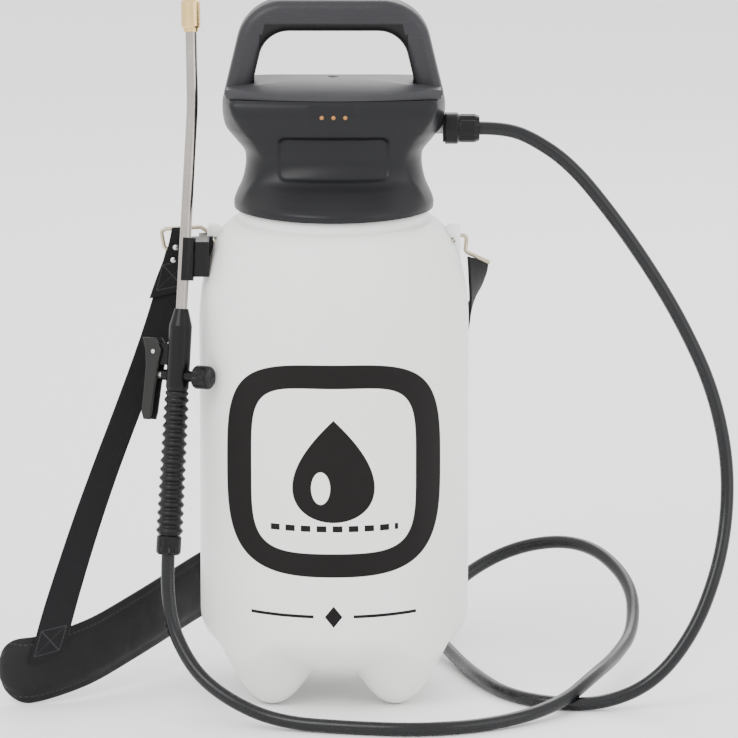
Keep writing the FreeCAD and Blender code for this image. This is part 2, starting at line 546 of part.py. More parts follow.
tube("nozzle_seal", "1.2", "$nozzle_radius - 2.2", "$tip_run", "$tip_run + 1.8", tip)


def clipForm():
    # Spring clip: an open C round the lance on an arm that grips the left lug's edge.
    low, high = size("clip_low"), size("clip_high")
    held = Part.makeCylinder(7.4, high - low, Vector(0, 0, low))
    held = held.cut(Part.makeBox(12, 30, high - low + 2, Vector(-13.5, -15, low - 1)))
    held.Placement = unrolled.multiply(held.Placement)
    centre = unrolled.multVec(Vector(0, 0, (low + high) / 2))
    out, thick = size("lug_out"), size("lug_thick")
    tall, foot = high - low - 5, centre.z - (high - low) / 2 + 2
    arm = Part.makeBox(12.5, 26 - thick / 2, tall, Vector(-out - 11, centre.y, foot))
    channel = Part.makeBox(10, thick + 5, tall, Vector(-out - 6, -thick / 2 - 2.5, foot))
    bore = Part.makeCylinder(size("tube_radius") + size("running_gap"), high - low + 20, Vector(0, 0, low - 10))
    bore.Placement = unrolled.multiply(bore.Placement)
    return held.fuse([arm, channel]).cut(bore).cut(doc.getObject("tank").Shape)


shaped("lance_clip", clipForm())

# ---- strap: two wire hooks, webbing from the left hook to the pad and behind the tank to the right hook

def wirePath(spots, bend):
    return pipe(spots, [bend] * (len(spots) - 2), size("wire_radius"), 0)[0]


eyeOut, eyeUp = size("lug_hole_out"), size("lug_hole_up")
leftHook = [Vector(-eyeOut, -8, eyeUp), Vector(-eyeOut, 8.5, eyeUp), Vector(-94, 9.5, 332.5),
            Vector(-122, 9.5, 331), Vector(-119.5, 9.5, 317), Vector(-88, 9.5, 316)]
rightHook = [Vector(eyeOut, -8, eyeUp), Vector(eyeOut, 8.5, eyeUp), Vector(94, 9.5, 327.5),
             Vector(92.5, 9.5, 315), Vector(110, 9.5, 307)]
shaped("strap_hook_left", wirePath(leftHook, 3.2))
shaped("strap_hook_right", wirePath(rightHook, 3.2))


def flatSided(rings):
    # A closed solid through rings of four corners, its sides split into flat triangles.
    def triangle(a, b, c):
        return Part.Face(Part.makePolygon([a, b, c, a]))

    faces = []
    for ring, following in zip(rings, rings[1:]):
        for i in range(4):
            j = (i + 1) % 4
            faces += [triangle(ring[i], ring[j], following[j]), triangle(ring[i], following[j], following[i])]
    for ring in (rings[0][::-1], rings[-1]):
        faces += [triangle(ring[0], ring[1], ring[2]), triangle(ring[0], ring[2], ring[3])]
    shell = Part.makeShell(faces)
    shell.sewShape()
    solid = Part.makeSolid(shell)
    if solid.Volume < 0:
        solid.reverse()
    return solid


def ribbon(stations, width, thick):
    # A flat band through stations of (middle, width direction, facing direction).
    rings = []
    for middle, across, facing in stations:
        across, facing = Vector(*across).normalize(), Vector(*facing).normalize()
        facing = across.cross(facing).cross(across).normalize()
        side, face = across * (width / 2), facing * (thick / 2)
        middle = Vector(*middle)
        rings.append([middle + side + face, middle - side + face, middle - side - face, middle + side - face])
    return flatSided(rings)


strapWide, strapThick = size("strap_width"), size("strap_thick")
leftRoute = [((-104, 12.3, 316), (1, 0, 0.0), (0, 1, 0)), ((-107, 12.3, 303), (1, 0, 0.1), (0, 1, 0)),
             ((-115, 8, 280), (1, 0.1, 0.25), (0, 1, 0.2)),
             ((-128, -3, 247), (1, 0.2, 0.35), (-0.2, 1, 0.2)), ((-147, -14, 202), (1, 0.25, 0.38), (-0.2, 1, 0.2)),
             ((-168, -27, 148), (1, 0.2, 0.36), (-0.2, 1, 0.2)), ((-184, -37, 100), (1, 0.1, 0.3), (-0.1, 1, 0.2)),
             ((-201, -42, 53.5), (1, 0.0, 0.2), (0, 1, 0.2))]
shaped("strap_left", ribbon(leftRoute, strapWide, strapThick))
rivets = [Part.makeCylinder(2.2, 1.2, Vector(x, 10.1, z), Vector(0, 1, 0)) for x, z in ((-113, 307.5), (-99, 305))]
shaped("strap_rivets", Part.makeCompound(rivets))
tank = size("tank_radius")


def behind(angle, height, out):
    # A spot beside the tank's wall, at an angle from +X round the back.
    turn = math.radians(angle)
    return (out * math.cos(turn), out * math.sin(turn), height), (math.cos(turn), math.sin(turn), 0)


rearRoute = [((102, 13, 303), (-0.55, -0.8, 0.25), (0.8, -0.55, 0)),
             ((101, 16, 293), (-0.42, -0.9, 0.1), (0.9, -0.4, 0)),
             ((99.5, 22, 277), (-0.2, -1, -0.25), (1, -0.1, 0))]
for angle in range(24, 95, 14):
    spot, facing = behind(angle, 287 - 1.53 * angle, tank + 3.1)
    rearRoute.append((spot, (0.95 * facing[1], -0.95 * facing[0], -1.0), facing))
rearRoute += [((-31, 103, 119), (0.72, 0.1, -0.7), (-0.1, 1, 0)), ((-56, 107, 92), (0.5, 0.1, -0.85), (-0.3, 1, 0)),
              ((-69, 101.5, 74), (0.2, 0.1, -1), (-0.6, 0.75, 0)), ((-76, 95, 65), (0, 0, -1), (-0.67, 0.74, 0))]
shaped("strap_rear", ribbon(rearRoute, strapWide, strapThick))


def padForm():
    # Long cushion standing on its edge, its left end on the ground and its right end behind the tank.
    stations = [((-236, -38, 25), 0.5, (0.9, -0.45, 0)), ((-228, -45, 25), 0.86, (0.9, -0.3, 0)),
                ((-210, -47, 25.5), 1.0, (1, 0.1, 0)), ((-175, -28, 33), 1.0, (1, 0.7, 0)),
                ((-143, 5, 44), 1.0, (1, 1.1, 0)), ((-118, 40, 52), 1.0, (0.8, 1.2, 0)),
                ((-98, 70, 58), 1.0, (0.8, 1.1, 0)), ((-76, 95, 65), 0.9, (0.8, 0.9, 0))]
    rings = []
    for middle, share, way in stations:
        way = Vector(*way).normalize()
        facing = Vector(-way.y, way.x, 0)
        tall, thick = Vector(0, 0, size("pad_width") / 2 * share), facing * (size("pad_thick") / 2)
        middle = Vector(*middle)
        rings.append([middle + tall + thick, middle - tall + thick, middle - tall - thick, middle + tall - thick])
    return flatSided(rings)


shaped("shoulder_pad", padForm())

# ---- hose: an arc through the air to the ground, round behind the tank and back to the lance

lanceWay = lance.Rotation.multVec(Vector(0, 0, 1))
nutFace = Vector(size("nut_end"), 0, outletZ)
hoseRoute = [
    nutFace, Vector(117, 0, 405), Vector(136, 0, 400), Vector(166, 0, 380), Vector(196, 0, 343),
    Vector(223, 0, 304), Vector(246, 0, 265), Vector(267, -3, 220), Vector(278, -8, 172), Vector(278, -20, 130),
    Vector(270, -38, 92), Vector(253, -52, 52), Vector(226, -60, 19), Vector(190, -66, 4.8),
    Vector(152, -64, 5.1), Vector(122, -38, 4.9), Vector(104, 6, 5.1), Vector(88, 60, 5.4), Vector(68, 120, 14),
    Vector(84, 180, 32), Vector(132, 203, 56), Vector(184, 178, 66), Vector(216, 124, 48),
    Vector(216, 64, 26), Vector(200, 8, 19.6), Vector(184, -40, 19.4), Vector(160, -80, 9),
    Vector(120, -116, 4.9), Vector(66, -138, 5.1), Vector(10, -130, 4.9), Vector(-40, -117, 5.6),
    Vector(-76, -107, 20), Vector(-101, -91, 39), lanceFoot - lanceWay * 38, lanceFoot]


def hoseForm(route, radius):
    radii = []
    for i in range(1, len(route) - 1):
        before, after = route[i] - route[i - 1], route[i + 1] - route[i]
        radii.append(0.45 * min(before.Length, after.Length) / math.tan(before.getAngle(after) / 2))
    solid, length = pipe(route, radii, radius, 0)
    print("hose radii", [round(r) for r in radii], "least", round(min(radii), 1))
    print("hose length", round(length, 1), "volume over section x length",
          round(solid.Volume / (math.pi * radius ** 2 * length), 4))
    return solid


shaped("hose", hoseForm(hoseRoute, size("hose_radius")))

# ---- check and write

nodes = [
    "tank", "lid_shell", "neck_gasket", "pump_barrel", "foot_valve", "rod_guide", "plunger_head", "plunger_cup",
    "pump_rod", "handle_plate", "handle_arch", "rod_screw", "outlet_pipe", "hose_nut", "dip_tube", "strainer",
    "relief_body", "relief_knob", "relief_seal", "lance_hose_nut", "grip_sleeve", "valve_body", "lance_nut",
    "trigger_pin", "trigger_lever", "valve_plunger", "valve_seal", "valve_cap", "valve_spring", "lance_tube",
    "nozzle_body", "nozzle_cap", "nozzle_seal", "lance_clip", "strap_hook_left", "strap_hook_right",
    "strap_left", "strap_rear", "strap_rivets", "shoulder_pad", "outlet_seal", "lance_seal", "relief_spring",
    "hose"]
doc.recompute()
faults = []
for thing in doc.Objects:
    if "Invalid" in thing.State or "Error" in thing.State:
        faults.append(f"{thing.Label}: {thing.State}")
subParts = {}
for label in nodes:
    found = doc.getObjectsByLabel(label)
    if len(found) != 1 or found[0].Shape.isNull() or not found[0].Shape.isValid():
        faults.append(f"{label}: missing, empty or not valid")
    elif not found[0].Shape.Solids:
        faults.append(f"{label}: not a solid")
    else:
        subParts[label] = found[0]
if faults:
    raise RuntimeError("; ".join(faults))
os.makedirs("parts", exist_ok=True)
for label, thing in subParts.items():
    thing.Shape.exportStep(f"parts/{label}.step")
print(len(subParts), "sub-parts written")
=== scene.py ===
import math

import bmesh
import bpy
from mathutils import Matrix, Vector


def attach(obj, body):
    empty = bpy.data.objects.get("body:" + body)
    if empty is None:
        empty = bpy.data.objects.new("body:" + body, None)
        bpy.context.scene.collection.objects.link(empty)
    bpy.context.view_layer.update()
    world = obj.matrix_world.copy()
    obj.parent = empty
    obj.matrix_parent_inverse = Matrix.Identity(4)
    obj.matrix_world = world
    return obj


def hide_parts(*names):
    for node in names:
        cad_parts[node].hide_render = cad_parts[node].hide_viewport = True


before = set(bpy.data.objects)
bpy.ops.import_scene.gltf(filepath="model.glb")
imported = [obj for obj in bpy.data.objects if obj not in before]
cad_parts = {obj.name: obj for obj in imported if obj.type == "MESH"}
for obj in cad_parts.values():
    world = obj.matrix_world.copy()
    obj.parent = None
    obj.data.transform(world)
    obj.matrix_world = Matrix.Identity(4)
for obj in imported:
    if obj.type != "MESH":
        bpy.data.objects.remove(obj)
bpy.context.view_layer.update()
mm = 0.001
print("stage: frame loaded", len(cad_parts))


# camera: long lens, a little above the lid

cameraPlan = {"aim": Vector((0.0247, 0, 0.2322)), "away": 5.0, "elevation": 12.0, "across": 0.5215}

cameraData = bpy.data.cameras.new("camera")
cameraData.sensor_width = 36
cameraData.lens = 36 * cameraPlan["away"] / cameraPlan["across"]
cameraData.clip_start, cameraData.clip_end = 0.1, 50
camera = bpy.data.objects.new("camera", cameraData)
bpy.context.scene.collection.objects.link(camera)
rise = math.radians(cameraPlan["elevation"])
back = Vector((0, -math.cos(rise), math.sin(rise)))
camera.location = cameraPlan["aim"] + back * cameraPlan["away"]
camera.rotation_mode = "QUATERNION"
camera.rotation_quaternion = (-back).to_track_quat("-Z", "Y")
bpy.context.scene.camera = camera


# shader maths

class Wire:
    # One value in a node tree, so that sums on it become Math nodes.
    def __init__(self, finish, socket):
        self.finish, self.socket = finish, socket

    def step(self, operation, *others):
        return self.finish.node("ShaderNodeMath", {"operation": operation},
                                {i: v for i, v in enumerate((self,) + others)})

    def swapped(self, operation, other):
        return self.finish.node("ShaderNodeMath", {"operation": operation}, {0: other, 1: self})

    def __add__(self, other):
        return self.step("ADD", other)

    __radd__ = __add__

    def __sub__(self, other):
        return self.step("SUBTRACT", other)

    def __rsub__(self, other):
        return self.swapped("SUBTRACT", other)

    def __mul__(self, other):
        return self.step("MULTIPLY", other)

    __rmul__ = __mul__

    def __truediv__(self, other):
        return self.step("DIVIDE", other)

    def __pow__(self, other):
        return self.step("POWER", other)

    def __abs__(self):
        return self.step("ABSOLUTE")

    def __lt__(self, other):
        return self.step("LESS_THAN", other)

    def __gt__(self, other):
        return self.step("GREATER_THAN", other)

    def least(self, other):
        return self.step("MINIMUM", other)

    def most(self, other):
        return self.step("MAXIMUM", other)

    def sine(self):
        return self.step("SINE")

    def clear(self, low, high):
        # 0 at low, 1 at high, smooth between
        return self.finish.node("ShaderNodeMapRange", {"interpolation_type": "SMOOTHSTEP"},
                                {"Value": self, "From Min": low, "From Max": high})


class Finish:
    # One material and the nodes that feed it.
    def __init__(self, name, **settings):
        self.material = bpy.data.materials.new(name)
        self.material.use_nodes = True
        self.tree = self.material.node_tree
        self.skin = self.tree.nodes["Principled BSDF"]
        for socket, value in settings.items():
            self.skin.inputs[socket.replace("_", " ")].default_value = value

    def node(self, kind, settings=None, inputs=None, output=0):
        made = self.tree.nodes.new(kind)
        for name, value in (settings or {}).items():
            if name == "stops":
                ramp = made.color_ramp.elements
                while len(ramp) < len(value):
                    ramp.new(0.5)
                for stop, (place, colour) in zip(ramp, value):
                    stop.position, stop.color = place, (*colour, 1)
            else:
                setattr(made, name, value)
        for name, value in (inputs or {}).items():
            socket = made.inputs[name]
            if isinstance(value, Wire):
                self.tree.links.new(value.socket, socket)
            elif value is not None:
                socket.default_value = value
        return Wire(self, made.outputs[output])

    def place(self):
        return self.node("ShaderNodeTexCoord", output="Object")

    def sheetPlace(self):
        return self.node("ShaderNodeUVMap", {"uv_map": "weave"})

    def split(self, vector):
        made = self.node("ShaderNodeSeparateXYZ", None, {0: vector})
        return [Wire(self, s) for s in made.socket.node.outputs]

    def noise(self, vector, scale, detail=3.0, rough=0.5):
        return self.node("ShaderNodeTexNoise", None, {"Vector": vector, "Scale": scale, "Detail": detail,
                                                      "Roughness": rough}, "Fac")

    def mix(self, share, first, second):
        return self.node("ShaderNodeMix", {"data_type": "RGBA"},
                         {0: share, 6: first if isinstance(first, Wire) else (*first, 1),
                          7: second if isinstance(second, Wire) else (*second, 1)}, 2)

    def stretch(self, vector, factors):
        return self.node("ShaderNodeMapping", None, {"Vector": vector, "Scale": factors})

    def feed(self, socket, wire):
        self.tree.links.new(wire.socket, self.skin.inputs[socket])

    def bump(self, height, depth, strength=1.0, below=None):
        made = self.node("ShaderNodeBump", None, {"Height": height, "Strength": strength, "Distance": depth})
        if below:
            self.tree.links.new(below.socket, made.socket.node.inputs["Normal"])
        return made


def wear(nodes, finish):
    # Gives CAD nodes a finish.
    for name in nodes:
        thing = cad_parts[name]
        thing.data.materials.clear()
        thing.data.materials.append(finish.material)


# finishes

def grainedPlastic(name, colour, lighter, roughness, grain=0.00006, scale=2600.0, gloss=0.22):
    made = Finish(name, Specular_IOR_Level=gloss)
    at = made.place()
    cloud = made.noise(at, 22.0, 4.0)
    speck = made.noise(at, 900.0, 2.0)
    scuff = made.noise(made.stretch(at, (30.0, 30.0, 240.0)), 6.0, 5.0).clear(0.62, 0.78)
    made.feed("Base Color", made.mix(scuff * 0.35 + cloud * 0.35 + speck * 0.15, colour, lighter))
    made.feed("Roughness", cloud * 0.10 + scuff * 0.10 + (roughness - 0.06))
    fine = made.noise(at, scale, 2.0)
    made.feed("Normal", made.bump(fine, grain, 0.5))
    return made


lidPlastic = grainedPlastic("lidPlastic", (0.0042, 0.0043, 0.0052), (0.0105, 0.0105, 0.0125), 0.38,
                            gloss=0.24)
handlePlastic = grainedPlastic("handlePlastic", (0.022, 0.0215, 0.025), (0.040, 0.039, 0.044), 0.42)
fittingPlastic = grainedPlastic("fittingPlastic", (0.0022, 0.0022, 0.0026), (0.0060, 0.0060, 0.0066), 0.30,
                                gloss=0.2)
leverPlastic = grainedPlastic("leverPlastic", (0.012, 0.012, 0.0115), (0.024, 0.024, 0.023), 0.38)
pumpPlastic = grainedPlastic("pumpPlastic", (0.50, 0.51, 0.53), (0.60, 0.61, 0.63), 0.42, gloss=0.4)
sealRubber = grainedPlastic("sealRubber", (0.003, 0.003, 0.003), (0.008, 0.008, 0.008), 0.62)


def handleGrip():
    # Satin frame, with painted shade near-black round the inside of the hand opening, where it is also
    # rougher.
    plan = {"foot": 430.5 * mm, "inner": 59.8 * mm, "lean": 0.2336, "under": 473.5 * mm, "corner": 481 * mm}
    made = Finish("handleGrip", Specular_IOR_Level=0.26)
    at = made.place()
    x, y, z = made.split(at)
    inner = plan["inner"] - (z - plan["foot"]) * plan["lean"]
    beside = (abs(x) - inner).clear(0.0010, -0.0006)
    below = z.clear(plan["under"] + 0.0008, plan["under"] - 0.0008)
    # painted shade: near-black on the inner faces of the legs and under the top bar, and rougher there too
    openingShade = (beside * z.clear(plan["corner"] + 0.001, plan["corner"] - 0.001)).most(below * (abs(x) < 0.052))
    cloud = made.noise(at, 30.0, 4.0)
    brush = made.noise(made.stretch(at, (14.0, 60.0, 60.0)), 9.0, 4.0).clear(0.5, 0.8)
    frameColour = made.mix(cloud * 0.4 + brush * 0.35, (0.018, 0.0175, 0.0205), (0.036, 0.035, 0.040))
    made.feed("Base Color", made.mix(openingShade, frameColour, (0.0022, 0.0022, 0.0026)))
    made.feed("Roughness", cloud * 0.12 + openingShade * 0.16 + 0.34)
    made.feed("Normal", made.bump(made.noise(at, 2600.0, 2.0), 0.00006, 0.5))
    return made


handleFinish = handleGrip()
plateFinish = grainedPlastic("plateFinish", (0.030, 0.030, 0.033), (0.055, 0.055, 0.060), 0.40)
gripRubber = grainedPlastic("gripRubber", (0.0020, 0.0020, 0.0024), (0.0060, 0.0060, 0.0066), 0.32,
                            gloss=0.24)


def milkyPlastic():
    # Blown tank wall with the printed ring and plain marks on its front.
    plan = {"radius": 95 * mm, "middle": 179.2 * mm, "outerWide": 85.6 * mm, "outerTall": 75.4 * mm,
            "innerWide": 61.6 * mm, "innerTall": 58.8 * mm, "dropTall": 36.5 * mm, "dropWide": 76 * mm,
            "dashes": -41 * mm, "lines": -104 * mm}
    made = Finish("milkyPlastic", Subsurface_Weight=0.35, Subsurface_Scale=0.012, Specular_IOR_Level=0.22,
                  Subsurface_Radius=(1.0, 0.95, 0.85))
    at = made.place()
    x, y, z = made.split(at)
    around = made.node("ShaderNodeMath", {"operation": "ARCTAN2"}, {0: x, 1: y * -1.0}) * plan["radius"]
    up = z - plan["middle"]
    front = y < 0.0
    outer = (abs(around) / plan["outerWide"]) ** 3.15 + (abs(up) / plan["outerTall"]) ** 3.15
    inner = (abs(around) / plan["innerWide"]) ** 4.3 + (abs(up) / plan["innerTall"]) ** 4.3
    ring = outer.clear(1.02, 1.0) * inner.clear(0.985, 1.015)
    share = ((up + plan["dropTall"]) / (plan["dropTall"] * 2)).most(0.0).least(1.0)
    dropHalf = share ** 0.5 * (1.0 - share) * plan["dropWide"]
    drop = (dropHalf - abs(around)).clear(-0.0002, 0.0003) * (abs(up) < plan["dropTall"])
    glint = ((around + 0.009) * (around + 0.009) * 3.0 + (up + 0.012) * (up + 0.012)) ** 0.5
    drop = drop * (glint - 0.0115).clear(-0.0002, 0.0003)
    dash = (abs(up - plan["dashes"]) < 0.0022) * (abs(around) < 0.047) * ((around * 560.0).sine() > -0.35)
    line = (abs(up - plan["lines"]) < 0.0011) * (abs(around) < 0.062) * (abs(around) > 0.014)
    small = (abs(up - plan["lines"]) * 0.8 + abs(around)) < 0.0062
    ink = (ring.most(drop).most(dash).most(line).most(small)) * front
    cloud = made.noise(at, 9.0, 3.0)
    streak = made.noise(made.stretch(at, (60.0, 60.0, 5.0)), 1.0, 3.0)
    low = z.clear(0.05, 0.0)
    wall = made.mix(cloud * 0.45 + streak * 0.30, (0.80, 0.80, 0.775), (0.86, 0.86, 0.845))
    wall = made.mix(low * 0.35, wall, (0.74, 0.74, 0.70))
    made.feed("Base Color", made.mix(ink, wall, (0.0022, 0.0012, 0.0010)))
    made.feed("Roughness", ink * 0.30 + cloud * 0.08 + 0.32)
    pebble = made.noise(at, 420.0, 2.0)
    first = made.bump(pebble, 0.00008, 0.35)
    made.feed("Normal", made.bump(streak * 0.7 + cloud * 0.5, 0.0006, 0.25, first))
    return made


tankPlastic = milkyPlastic()


def drawnSteel(name, colour, lighter, roughness, stretch=(1.0, 1.0, 0.02)):
    made = Finish(name, Metallic=1.0)
    at = made.place()
    scratch = made.noise(made.stretch(at, stretch), 3000.0, 3.0)
    cloud = made.noise(at, 60.0, 3.0)
    made.feed("Base Color", made.mix(scratch * 0.5 + cloud * 0.4, colour, lighter))
    made.feed("Roughness", scratch * 0.14 + cloud * 0.10 + roughness)
    made.feed("Normal", made.bump(scratch, 0.00002, 0.3))
    return made


tubeSteel = drawnSteel("tubeSteel", (0.24, 0.22, 0.20), (0.52, 0.49, 0.45), 0.10)
partSteel = drawnSteel("partSteel", (0.50, 0.50, 0.50), (0.66, 0.66, 0.66), 0.20, (1.0, 1.0, 1.0))
hookWire = drawnSteel("hookWire", (0.42, 0.36, 0.26), (0.62, 0.54, 0.40), 0.24, (1.0, 1.0, 1.0))
turnedBrass = drawnSteel("turnedBrass", (0.62, 0.41, 0.16), (0.85, 0.63, 0.30), 0.16, (0.02, 0.02, 1.0))


def hoseRubber():
    made = Finish("hoseRubber", Specular_IOR_Level=0.34)
    at = made.place()
    cloud = made.noise(at, 55.0, 4.0)
    dust = made.noise(at, 700.0, 2.0).clear(0.60, 0.75)
    tint = made.mix(cloud * 0.5 + dust * 0.2, (0.0016, 0.0018, 0.0024), (0.0045, 0.0050, 0.0065))
    made.feed("Base Color", tint)
    made.feed("Roughness", cloud * 0.16 + dust * 0.15 + 0.18)
    made.feed("Normal", made.bump(made.noise(at, 260.0, 3.0), 0.00015, 0.25))
    return made


hoseSkin = hoseRubber()


def wovenWebbing():
    # Flat webbing: a fine twill across, with tight edges; the sheet's own map is in metres.
    made = Finish("wovenWebbing", Sheen_Weight=0.06, Sheen_Roughness=0.5, Specular_IOR_Level=0.16)
    across, along, _ = made.split(made.sheetPlace())
    half = 12.5 * mm
    rows = (along * 5200.0 + across * 2600.0).sine()
    ends = (across * 7800.0).sine()
    weave = rows * 0.6 + ends * 0.4 * rows
    edge = (abs(across)).clear(half - 1.6 * mm, half - 0.9 * mm)
    height = weave * (1.0 - edge * 0.6) + edge * (along * 6200.0).sine() * 0.5
    fuzz = made.noise(made.place(), 1500.0, 3.0)
    # a sewn box with a cross in it, where a band ends
    middle = along + 14 * mm
    boxed = (abs(across) < 9.6 * mm) * (abs(middle) < 9.6 * mm)
    border = abs(across).most(abs(middle)) > 8.8 * mm
    crossed = abs(abs(across) - abs(middle)) < 0.6 * mm
    thread = boxed * border.most(crossed) * ((along * 2400.0 + across * 2400.0).sine() > -0.6)
    cover = made.mix(height * 0.25 + fuzz * 0.4, (0.0028, 0.0028, 0.0034), (0.0100, 0.0100, 0.0115))
    made.feed("Base Color", made.mix(thread, cover, (0.030, 0.030, 0.032)))
    made.feed("Roughness", fuzz * 0.15 + 0.62)
    made.feed("Normal", made.bump(height * 0.5 + fuzz * 0.3 + thread * 1.5, 0.00025, 0.8))
    return made


webbing = wovenWebbing()


def padVinyl():
    # Grained cover sewn round its border; the map runs up and along the pad in metres.
    plan = {"seam": 18.8 * mm, "stitch": 3.6 * mm}
    made = Finish("padVinyl", Specular_IOR_Level=0.2)
    at = made.place()
    up, along, _ = made.split(made.sheetPlace())
    grain = made.node("ShaderNodeTexVoronoi", {"feature": "DISTANCE_TO_EDGE"},
                      {"Vector": at, "Scale": 850.0}, 0)
    wrinkle = made.noise(made.stretch(at, (1.0, 1.0, 0.6)), 75.0, 5.0, 0.6)
    dash = (along * (2 * math.pi / plan["stitch"])).sine().clear(-0.5, -0.2)
    thread = (abs(abs(up) - plan["seam"])).clear(0.0006, 0.0004) * dash
    cover = made.mix(wrinkle * 0.6 + grain * 0.5, (0.0030, 0.0029, 0.0036), (0.0085, 0.0083, 0.0095))
    made.feed("Base Color", made.mix(thread, cover, (0.026, 0.026, 0.028)))
    made.feed("Roughness", wrinkle * 0.2 + thread * 0.2 + 0.40)
    fine = made.bump(grain.clear(0.0, 0.12) + thread * 2.0, 0.00012, 0.7)
    made.feed("Normal", made.bump(wrinkle, 0.0012, 0.45, fine))
    return made


vinyl = padVinyl()
print("stage: finishes made")

wear(["handle_arch"], handleFinish)
wear(["handle_plate"], plateFinish)
wear(["relief_knob"], handlePlastic)
wear(["valve_body", "lance_nut", "lance_clip", "relief_body"], fittingPlastic)
wear(["trigger_lever"], leverPlastic)
wear(["pump_barrel", "rod_guide", "plunger_head", "dip_tube", "strainer", "outlet_pipe"], pumpPlastic)
wear(["neck_gasket", "foot_valve", "plunger_cup", "relief_seal", "valve_seal", "nozzle_seal", "outlet_seal",
      "lance_seal"], sealRubber)
wear(["pump_rod", "rod_screw", "trigger_pin", "valve_plunger", "valve_spring", "relief_spring"], partSteel)
wear(["lance_tube"], tubeSteel)
wear(["strap_hook_left", "strap_hook_right"], hookWire)
wear(["nozzle_body", "nozzle_cap"], turnedBrass)


# making and joining pieces

def finished(piece, mesh, finish, body, slotName, *nodes, smooth=True):
    # Turns a bmesh into a piece that rides on a body and stands for the given CAD nodes.
    if smooth:
        for face in mesh.faces:
            face.smooth = True
    data = bpy.data.meshes.new(piece)
    mesh.to_mesh(data)
    mesh.free()
    thing = bpy.data.objects.new(piece, data)
    bpy.context.scene.collection.objects.link(thing)
    data.materials.append(finish.material)
    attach(thing, body)
    if nodes:
        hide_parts(*nodes)
    return thing


def modifier(thing, kind, **settings):
    made = thing.modifiers.new(kind.lower(), kind)
    for name, value in settings.items():
        setattr(made, name, value)
    return made


# hose

hosePlan = {"radius": 4.75 * mm, "length": 1.595}
hoseRoute = [
    (102.4, 0, 405), (117, 0, 405), (136, 0, 400), (166, 0, 380), (196, 0, 343), (223, 0, 304), (246, 0, 265),
    (267, -3, 220), (278, -8, 172), (278, -20, 130), (270, -38, 92), (253, -52, 52), (226, -60, 19),
    (190, -66, 4.8), (152, -64, 5.1), (122, -38, 4.9), (104, 6, 5.1), (88, 60, 5.4), (68, 120, 14),
    (84, 180, 32), (132, 203, 56), (184, 178, 66), (216, 124, 48), (216, 64, 26), (200, 8, 19.6),
    (184, -40, 19.4), (160, -80, 9), (120, -116, 4.9), (66, -138, 5.1), (10, -130, 4.9), (-40, -117, 5.6),
    (-76, -107, 20), (-101, -91, 39), (-118.18, -70.76, 75.16), (-116.1, -64, 112.5)]

hoseData = bpy.data.curves.new("hose_line", "CURVE")
hoseData.dimensions = "3D"
spline = hoseData.splines.new("NURBS")
spline.points.add(len(hoseRoute) - 1)
for spot, place in zip(spline.points, hoseRoute):
    spot.co = (*(Vector(place) * mm), 1)
spline.order_u = 3
spline.use_endpoint_u = True
spline.resolution_u = 10
hoseData.bevel_depth = hosePlan["radius"]
hoseData.bevel_resolution = 8
hoseData.materials.append(hoseSkin.material)
hose = bpy.data.objects.new("hose_line", hoseData)
bpy.context.scene.collection.objects.link(hose)
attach(hose, "sprayer")
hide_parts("hose")
print("stage: hose laid")


# shaping helpers

def ringPoints(wide, deep, cornerWide, cornerDeep, height, share):
    # Four bowed sides between four corners, as a closed list of places.
    places = []
    for half, middle, corner, turn in ((cornerWide, deep, cornerDeep, 0), (cornerDeep, wide, cornerWide, 1),
                                       (cornerWide, deep, cornerDeep, 2), (cornerDeep, wide, cornerWide, 3)):
        sag = middle - corner
        radius = (half * half + sag * sag) / (2 * sag)
        spread = math.asin(half / radius)
        for number in range(share):
            angle = spread * (2 * number / share - 1)
            spot = Vector((radius * math.sin(angle), radius - middle - radius * math.cos(angle), height))
            places.append(Matrix.Rotation(math.pi / 2 * turn, 4, "Z") @ spot)
    return places


def softened(places, rounds):
    # Rounds a closed loop's corners by averaging neighbours.
    for _ in range(rounds):
        after = places[1:] + places[:1]
        before = places[-1:] + places[:-1]
        places = [(low + spot * 2 + high) / 4 for low, spot, high in zip(before, places, after)]
    return places


def loopOf(mesh, places):
    # A closed ring of edges, bent from a circle.
    made = bmesh.ops.create_circle(mesh, segments=len(places), radius=1.0)["verts"]
    for vertex, place in zip(made, places):
        vertex.co = place
    return list({edge for vertex in made for edge in vertex.link_edges})


def skinned(mesh, rings, closeFirst=False, closeLast=False):
    # Bridges ring after ring and closes the ends that are asked for.
    loops = [loopOf(mesh, places) for places in rings]
    for low, high in zip(loops, loops[1:]):
        bmesh.ops.bridge_loops(mesh, edges=low + high)
    for asked, loop in ((closeFirst, loops[0]), (closeLast, loops[-1])):
        if asked:
            bmesh.ops.contextual_create(mesh, geom=loop)
    bmesh.ops.recalc_face_normals(mesh, faces=mesh.faces)


def between(rows, count):
    # Rows of numbers along a smooth curve through the given rows, count steps from one to the next.
    table = [rows[0]] + list(rows) + [rows[-1]]
    made = []
    for i in range(1, len(table) - 2):
        a, b, c, d = table[i - 1:i + 3]
        for step in range(count):
            t = step / count
            made.append([0.5 * (2 * q + (r - p) * t + (2 * p - 5 * q + 4 * r - s) * t * t
                                + (3 * q - p - 3 * r + s) * t ** 3) for p, q, r, s in zip(a, b, c, d)])
    return made + [list(rows[-1])]


